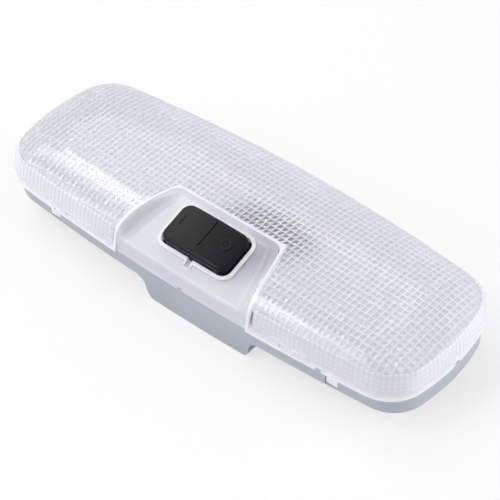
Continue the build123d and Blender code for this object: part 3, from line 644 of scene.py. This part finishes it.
def inset_of(x, y):
    """Inset at which the inner dome's outline passes through a plan point, by halving its range."""
    low, high = np.full(x.shape, inset_least), np.full(x.shape, inset_most)
    for _ in range(inset_halvings):
        inset = (low + high) / 2
        shift = skirt_draft - crown_lead * crown_run(inset)
        inside = outline_room(x, y - shift, inset) > 0
        low, high = np.where(inside, inset, low), np.where(inside, high, inset)
    return (low + high) / 2


def inner_height(x, y):
    """Height of the dome's inner face above a plan point: a quarter ellipse over the shoulder."""
    return skirt_top + (crown_rise - lens_wall) * np.sqrt(1 - (1 - crown_run(inset_of(x, y))) ** 2)


def prism_field():
    """Pyramids on a rectangular grid: corners lie on the dome's inner face and each centre hangs below it.
    Corners past the dome's foot, or inside the panel's cut-out, are first drawn back to that edge, and
    slivers that are left are dropped. The sheet is closed above by the same corners, sunk a little into
    the wall, and by a band round its edges."""
    last_column = round(lens_length / 2 / prism_pitch_x) + 1
    last_row = round(lens_width / 2 / prism_pitch_y) + 1
    columns = np.arange(-last_column, last_column + 1)
    rows = np.arange(-last_row, last_row + 1)
    x, y = (grid.ravel() for grid in np.meshgrid(columns * prism_pitch_x, rows * prism_pitch_y))
    full_cell = prism_pitch_x * prism_pitch_y
    foot = skirt_draft + lens_wall + prism_foot
    inset = inset_of(x, y)
    slope_x = (inset_of(x + slope_probe, y) - inset) / slope_probe
    slope_y = (inset_of(x, y + slope_probe) - inset) / slope_probe
    steep = np.maximum(np.hypot(slope_x, slope_y), least_slope)
    short = np.maximum(foot - inset, 0) / steep**2
    outside = inset < foot
    forward = (panel_rear_y - y) / (panel_rear_y + lens_width / 2)
    bow = panel_side_bow * 4 * forward * (1 - forward)
    cut_half = panel_rear_half + panel_margin + (panel_front_half - panel_rear_half) * forward + bow
    cut_rear = panel_rear_y + panel_margin
    in_cut = (np.abs(x) < cut_half) & (y < cut_rear)
    to_side, to_rear = cut_half - np.abs(x), cut_rear - y
    x, y = x + short * slope_x, y + short * slope_y
    sideways = in_cut & (to_side < to_rear)
    x = np.where(sideways, np.sign(x) * cut_half, x)
    y = np.where(in_cut & ~sideways, cut_rear, y)
    width = len(columns)
    start = (np.arange(len(rows) - 1)[:, None] * width + np.arange(width - 1)).ravel()
    cells = np.stack([start, start + 1, start + 1 + width, start + width], 1)
    ring_x, ring_y = x[cells], y[cells]
    area = np.abs(
        (ring_x[:, 2] - ring_x[:, 0]) * (ring_y[:, 3] - ring_y[:, 1])
        - (ring_x[:, 3] - ring_x[:, 1]) * (ring_y[:, 2] - ring_y[:, 0])
    ) / 2
    keep = ~outside[cells].all(1) & ~in_cut[cells].all(1) & (area > least_cell * full_cell)
    cells, area = cells[keep], area[keep]
    mid_x, mid_y = x[cells].mean(1), y[cells].mean(1)
    hang = prism_depth * np.minimum(np.sqrt(area / full_cell), 1)
    corner_z = inner_height(x, y)
    mid_z = np.minimum(inner_height(mid_x, mid_y), corner_z[cells].mean(1)) - hang
    count = len(x)
    points = np.concatenate(
        [
            np.stack([x, y, corner_z], 1),
            np.stack([x, y, corner_z + prism_sink], 1),
            np.stack([mid_x, mid_y, mid_z], 1),
        ]
    )
    peak = 2 * count + np.arange(len(cells))
    facets = [np.stack([cells[:, (i + 1) % 4], cells[:, i], peak], 1) for i in range(4)]
    above = cells + count
    lids = [above[:, [0, 1, 2]], above[:, [0, 2, 3]]]
    edges = np.concatenate([cells[:, [i, (i + 1) % 4]] for i in range(4)])
    total = len(points)
    rim = edges[~np.isin(edges[:, 0] * total + edges[:, 1], edges[:, 1] * total + edges[:, 0])]
    band = [
        np.stack([rim[:, 0], rim[:, 1], rim[:, 1] + count], 1),
        np.stack([rim[:, 0], rim[:, 1] + count, rim[:, 0] + count], 1),
    ]
    faces = np.concatenate(facets + band + lids)
    used, faces = np.unique(faces, return_inverse=True)
    return points[used], faces.reshape(-1, 3), 2 * len(cells)


def rows_fade(axes):
    """Range along X in which the rows are lost, from where they are seen in full towards the left end."""
    return {"Value": axes.outputs["X"], "From Min": rows_seen_from * MM, "From Max": rows_lost_from * MM}


def moulded_prisms():
    """Clear prisms. Two triangle waves, one along X and one along Y, fall to nothing on the lines between
    cells, and their lower value tells the rounded, frosted lines from the facets. A wave texture repeats
    every wave_period divided by its scale. The lines scatter white light. The facets are clearest over the
    switch hood, and turn milky towards the foot of the dome. Towards the front, lines and facets grow alike
    in gloss and clearness, so the grid fades, and to the left the lines that run along X are lost."""
    material, tree, shader = new_finish("prismed_polycarbonate", {"IOR": lens_ior})
    place = add_node(tree, "ShaderNodeTexCoord").outputs["Object"]
    axes = add_node(tree, "ShaderNodeSeparateXYZ", {"Vector": place})
    waves = [
        add_node(
            tree,
            "ShaderNodeTexWave",
            {"Vector": place, "Scale": wave_period / (pitch * MM)},
            bands_direction=axis,
            **triangle_wave,
        ).outputs["Fac"]
        for axis, pitch in (("X", prism_pitch_x), ("Y", prism_pitch_y))
    ]
    lost = add_node(
        tree,
        "ShaderNodeMapRange",
        {**rows_fade(axes), "To Min": prism_line[0], "To Max": prism_line[1]},
    ).outputs["Result"]
    rows = add_node(tree, "ShaderNodeMath", {0: waves[1], 1: lost}, operation="MAXIMUM").outputs["Value"]
    inside = add_node(tree, "ShaderNodeMath", {0: waves[0], 1: rows}, operation="MINIMUM").outputs["Value"]
    colour = add_node(tree, "ShaderNodeValToRGB", {"Fac": inside})
    for stop, at, tone in zip(colour.color_ramp.elements, prism_line, (line_tone, facet_tone)):
        stop.position, stop.color = at, linear(tone)
    forward = {"Value": axes.outputs["Y"], "From Min": soft_from_y * MM, "From Max": soft_full_y * MM}
    line_rough, facet_rough, line_light = (
        add_node(tree, "ShaderNodeMapRange", {**forward, "To Min": rear, "To Max": front}).outputs["Result"]
        for rear, front in (line_roughness, facet_roughness, line_clear)
    )
    across = {"Value": inside, "From Min": prism_line[0], "From Max": prism_line[1]}
    gloss, by_line = (
        add_node(tree, "ShaderNodeMapRange", {**across, "To Min": line, "To Max": facet}).outputs["Result"]
        for line, facet in ((line_rough, facet_rough), (line_light, 1.0))
    )
    by_hood = add_node(
        tree,
        "ShaderNodeMapRange",
        {
            "Value": plan_reach(tree, hood_centre, hood_reach),
            "From Min": hood_core,
            "From Max": 1.0,
            "To Min": facet_clear[1],
            "To Max": facet_clear[0],
        },
    ).outputs["Result"]
    by_height = add_node(
        tree,
        "ShaderNodeMapRange",
        {
            "Value": axes.outputs["Z"],
            "From Min": skirt_top * MM,
            "From Max": (skirt_top + foot_fade) * MM,
            "To Min": foot_clear,
            "To Max": 1.0,
        },
    ).outputs["Result"]
    clear = by_line
    for share in (by_hood, by_height):
        product = add_node(tree, "ShaderNodeMath", {0: clear, 1: share}, operation="MULTIPLY")
        clear = product.outputs["Value"]
    tree.links.new(colour.outputs["Color"], shader.inputs["Base Color"])
    tree.links.new(clear, shader.inputs["Transmission Weight"])
    tree.links.new(gloss, shader.inputs["Roughness"])
    pass_shadow_rays(tree, prism_tint)
    return material


prismed_polycarbonate = moulded_prisms()

# Where prism and wall are one moulding, nothing bends or stops the light
fused_polycarbonate = clear_shell(
    "fused_polycarbonate",
    ("#FDFDFE", "#FFFFFF"),
    roughness=(0.0, 0.01),
    wave_mm=18.0,
    wave_depth_mm=0.0,
    sockets={"IOR": 1.0, "Transmission Weight": 1.0},
)
prism_points, prism_faces, lid_count = prism_field()
prism_finishes = (
    (prismed_polycarbonate, len(prism_faces) - lid_count),
    (fused_polycarbonate, lid_count),
)
new_piece("lens_prisms", prism_points, prism_faces, prism_finishes, "base")

# Ribs below the prisms
# The rows of prisms run on down the inside of the skirt as fine upright ribs, and fade out above the rim.
# They are moulded with the lens, and light that crosses them side on makes them look frosted. Their crests
# carry a painted highlight, and their valleys a greyer painted shade.
rib_foot_z, rib_full_z, rib_top_z = 18.2, 19.4, 26.2
rib_depth = 0.4
# rib_tones run from the painted shade of the valleys to the painted highlight of the crests
rib_tones, rib_tint, rib_clear = ("#D8D8DF", "#FAFAFC"), "#F3F3F6", (0.2, 0.06)
rib_row_pitch, rib_row_gap, rib_valley = 1.9, 0.45, 0.2
path_directions, path_halvings = 4000, 40
frosted_polycarbonate = clear_shell(
    "frosted_polycarbonate",
    rib_tones,
    roughness=(0.35, 0.45),
    wave_mm=4.0,
    wave_depth_mm=0.02,
    sockets={"IOR": lens_ior},
    tint=rib_tint,
)


def skirt_path(height, steps):
    """Points at equal steps round the skirt's inner outline at a height, from the front middle on. Along
    each direction from the centre, halving finds where the room inside the outline runs out."""
    risen = np.clip((height - rim_z) / (skirt_top - rim_z), 0, 1)
    inset, shift = lens_wall + skirt_draft * risen, skirt_draft * risen
    turn = np.linspace(-np.pi / 2, 1.5 * np.pi, path_directions)
    low, high = np.zeros(turn.shape), np.full(turn.shape, lens_length)
    for _ in range(path_halvings):
        reach = (low + high) / 2
        inside = outline_room(reach * np.cos(turn), reach * np.sin(turn) - shift, inset) > 0
        low, high = np.where(inside, reach, low), np.where(inside, high, reach)
    trail = np.stack([low * np.cos(turn), low * np.sin(turn)], 1)
    gone = np.concatenate([[0], np.cumsum(np.linalg.norm(np.diff(trail, axis=0), axis=1))])
    at = np.linspace(0, gone[-1], steps)
    return np.stack([np.interp(at, gone, trail[:, 0]), np.interp(at, gone, trail[:, 1])], 1)


def skirt_ribs():
    """Zigzag band: every second point of the path steps in by the rib's depth, the others stay on the wall.
    The section is closed by two points sunk into the wall, and the band ends on both sides of the panel.
    Each point also gets its share of crest, which sets how much painted highlight it takes: 1 on a rib, and
    between ribs a little more to the right."""
    rib_count = 2 * round((lens_length + lens_width) / prism_pitch_x)
    low, high = (skirt_path(z, 2 * rib_count) for z in (rib_foot_z, rib_top_z))
    half = panel_front_half + panel_margin
    clear = (np.abs(low[:, 0]) > half) | (low[:, 1] > panel_rear_y)
    low, high = low[clear], high[clear]
    along = np.gradient(low, axis=0)
    inward = np.stack([-along[:, 1], along[:, 0]], 1) / np.linalg.norm(along, axis=1)[:, None]
    on_rib = np.arange(len(low)) % 2
    stand = rib_depth * on_rib[:, None]
    full_share = (rib_full_z - rib_foot_z) / (rib_top_z - rib_foot_z)
    section = [
        (low - prism_sink * inward, rib_foot_z),
        (low, rib_foot_z),
        (low + (high - low) * full_share + stand * inward, rib_full_z),
        (high + stand * inward, rib_top_z),
        (high - prism_sink * inward, rib_top_z),
    ]
    points = np.stack([np.column_stack([plan, np.full(len(plan), z)]) for plan, z in section], 1)
    count = len(section)
    ring = np.arange(len(low) - 1)[:, None] * count + np.arange(count)
    beside = np.arange(len(low) - 1)[:, None] * count + (np.arange(count) + 1) % count
    last = (len(low) - 1) * count
    caps = [[(0, i + 1, i), (last, last + i, last + i + 1)] for i in range(1, count - 1)]
    faces = [
        np.stack([ring, beside, beside + count], 2).reshape(-1, 3),
        np.stack([ring, beside + count, ring + count], 2).reshape(-1, 3),
        np.array(caps).reshape(-1, 3),
    ]
    # between ribs the painted highlight grows a little towards the right
    valley = np.interp(low[:, 0], (rows_lost_from, -rows_lost_from), (0.0, rib_valley))
    crest = np.where(on_rib == 1, 1.0, valley)
    return points.reshape(-1, 3), np.concatenate(faces), np.repeat(crest, count)


def paint_rib_light_and_shade():
    """Paints light and shade on the ribs: their tones follow their crests instead of the waves, so the
    crests take a painted highlight, white, and the valleys between them a greyer painted shade, and stay
    clearer. To the right a triangle wave along Z breaks the ribs into rows, as in the prisms above."""
    tree = frosted_polycarbonate.node_tree
    shader = tree.nodes["Principled BSDF"]
    place = add_node(tree, "ShaderNodeTexCoord").outputs["Object"]
    axes = add_node(tree, "ShaderNodeSeparateXYZ", {"Vector": place})
    wave = add_node(
        tree,
        "ShaderNodeTexWave",
        {"Vector": place, "Scale": wave_period / (rib_row_pitch * MM)},
        bands_direction="Z",
        **triangle_wave,
    ).outputs["Fac"]
    lost = add_node(
        tree,
        "ShaderNodeMapRange",
        {**rows_fade(axes), "To Min": rib_row_gap, "To Max": 1.0},
    ).outputs["Result"]
    rows = add_node(tree, "ShaderNodeMath", {0: wave, 1: lost}, operation="MAXIMUM").outputs["Value"]
    crest = add_node(tree, "ShaderNodeAttribute", attribute_name="crest").outputs["Fac"]
    # painted highlight on the crests, broken into rows to the right
    white = add_node(tree, "ShaderNodeMath", {0: crest, 1: rows}, operation="MULTIPLY").outputs["Value"]
    clear = add_node(
        tree,
        "ShaderNodeMapRange",
        {"Value": white, "To Min": rib_clear[0], "To Max": rib_clear[1]},
    )
    colour = shader.inputs["Base Color"].links[0].from_node
    tree.links.new(white, colour.inputs["Fac"])
    tree.links.new(clear.outputs["Result"], shader.inputs["Transmission Weight"])


paint_rib_light_and_shade()
rib_points, rib_faces, rib_crest = skirt_ribs()
rib_finishes = ((frosted_polycarbonate, len(rib_faces)),)
skirt_piece = new_piece("skirt_ribs", rib_points, rib_faces, rib_finishes, "base")
skirt_piece.data.attributes.new("crest", "FLOAT", "POINT").data.foreach_set("value", rib_crest)

# Stage: a pale floor, a white surround, three soft boxes and two narrow ones for the gleams on the lens
# The floor is white to the eye and keeps a part of the object's shadow. The surround is white where it
# is seen, mirrored or looked at through the lens, and lights the object at a lower, plain level.
floor_half, floor_shadow, surround_light = 4.0, 0.35, 0.4

floor_mesh = bpy.data.meshes.new("floor")
corners = np.array([(-1, -1, 0), (1, -1, 0), (1, 1, 0), (-1, 1, 0)]) * floor_half
floor_mesh.from_pydata(corners.tolist(), [], [(0, 1, 2, 3)])
floor = bpy.data.objects.new("floor", floor_mesh)
bpy.context.scene.collection.objects.link(floor)
white_paper, paper_tree, paper = new_finish(
    "white_paper",
    {"Base Color": linear("#FDFDFD"), "Roughness": 0.9, "Specular IOR Level": 0.0},
)
glow = add_node(paper_tree, "ShaderNodeEmission", {"Color": linear("#FFFFFF"), "Strength": 1.0})
seen = add_node(paper_tree, "ShaderNodeLightPath").outputs["Is Camera Ray"]
fade = add_node(paper_tree, "ShaderNodeMath", {0: seen, 1: 1 - floor_shadow}, operation="MULTIPLY")
paper_mix = add_node(
    paper_tree,
    "ShaderNodeMixShader",
    {"Fac": fade.outputs["Value"], 1: paper.outputs["BSDF"], 2: glow.outputs["Emission"]},
)
paper_tree.links.new(paper_mix.outputs["Shader"], paper_tree.nodes["Material Output"].inputs["Surface"])
floor_mesh.materials.append(white_paper)

world = bpy.data.worlds.new("surround")
bpy.context.scene.world = world
world.use_nodes = True
sky_tree = world.node_tree
rays = add_node(sky_tree, "ShaderNodeLightPath")
eye_or_mirror = add_node(
    sky_tree,
    "ShaderNodeMath",
    {0: rays.outputs["Is Camera Ray"], 1: rays.outputs["Is Glossy Ray"]},
    operation="MAXIMUM",
)
shown_white = add_node(
    sky_tree,
    "ShaderNodeMath",
    {0: eye_or_mirror.outputs["Value"], 1: rays.outputs["Is Transmission Ray"]},
    operation="MAXIMUM",
)
level = add_node(
    sky_tree,
    "ShaderNodeMapRange",
    {"Value": shown_white.outputs["Value"], "To Min": surround_light, "To Max": 1.0},
)
sky_tree.links.new(level.outputs["Result"], sky_tree.nodes["Background"].inputs["Strength"])
sky_tree.nodes["Background"].inputs["Color"].default_value = linear("#FFFFFF")


def soft_box(name, direction, distance, size, power, mirrored=True):
    """Rectangular area lamp, in metres and watts, that stands off from the object along a direction and
    faces it. One that isn't mirrored lights the object but shows in no gloss."""
    lamp = bpy.data.lights.new(name, "AREA")
    lamp.shape = "RECTANGLE"
    lamp.size, lamp.size_y = size
    lamp.energy = power
    holder = bpy.data.objects.new(name, lamp)
    holder.visible_glossy = mirrored
    bpy.context.scene.collection.objects.link(holder)
    away = np.array(direction) / np.linalg.norm(direction)
    holder.location = away * distance
    side = np.cross((0, 1, 0), away)
    side /= np.linalg.norm(side)
    turned = np.stack([side, np.cross(away, side), away], 1)
    holder.rotation_mode = "QUATERNION"
    holder.rotation_quaternion = Matrix(turned.tolist()).to_quaternion()


soft_box("front_left", (-0.45, -0.70, 0.55), distance=1.3, size=(1.1, 1.1), power=7.3)
soft_box("upper_left", (-0.66, 0.09, 0.75), distance=1.2, size=(0.5, 0.5), power=2.4)
soft_box("right_end", (0.85, 0.49, 0.20), distance=1.2, size=(0.8, 1.4), power=11.5, mirrored=False)
soft_box("strip_left", (-0.53, 0.30, 0.79), distance=1.0, size=(0.10, 0.30), power=0.68)
soft_box("strip_front", (-0.36, -0.37, 0.86), distance=0.9, size=(0.12, 0.22), power=0.85)

# Camera: a long lens above the front right corner, as the object was photographed
# It looks a few millimetres to the right of and below the middle of the rim, and has no shift.
camera_azimuth, camera_elevation = math.radians(39.66), math.radians(45.14)
camera_away, camera_right, camera_up = 663.79, 3.06, -4.77
focal_length, sensor_width = 129.6, 36.0
view_back = np.array(
    [
        math.sin(camera_azimuth) * math.cos(camera_elevation),
        -math.cos(camera_azimuth) * math.cos(camera_elevation),
        math.sin(camera_elevation),
    ]
)
view_right = np.array([math.cos(camera_azimuth), math.sin(camera_azimuth), 0.0])
view_up = np.cross(view_back, view_right)
camera_data = bpy.data.cameras.new("camera")
camera_data.lens, camera_data.sensor_width = focal_length, sensor_width
camera = bpy.data.objects.new("camera", camera_data)
bpy.context.scene.collection.objects.link(camera)
eye = view_back * camera_away + view_right * camera_right + view_up * camera_up
camera.location = (eye + (0, 0, rim_z)) * MM
view_turned = np.stack([view_right, view_up, view_back], 1)
camera.rotation_mode = "QUATERNION"
camera.rotation_quaternion = Matrix(view_turned.tolist()).to_quaternion()
bpy.context.scene.camera = camera
bpy.context.scene.view_settings.view_transform = "Standard"
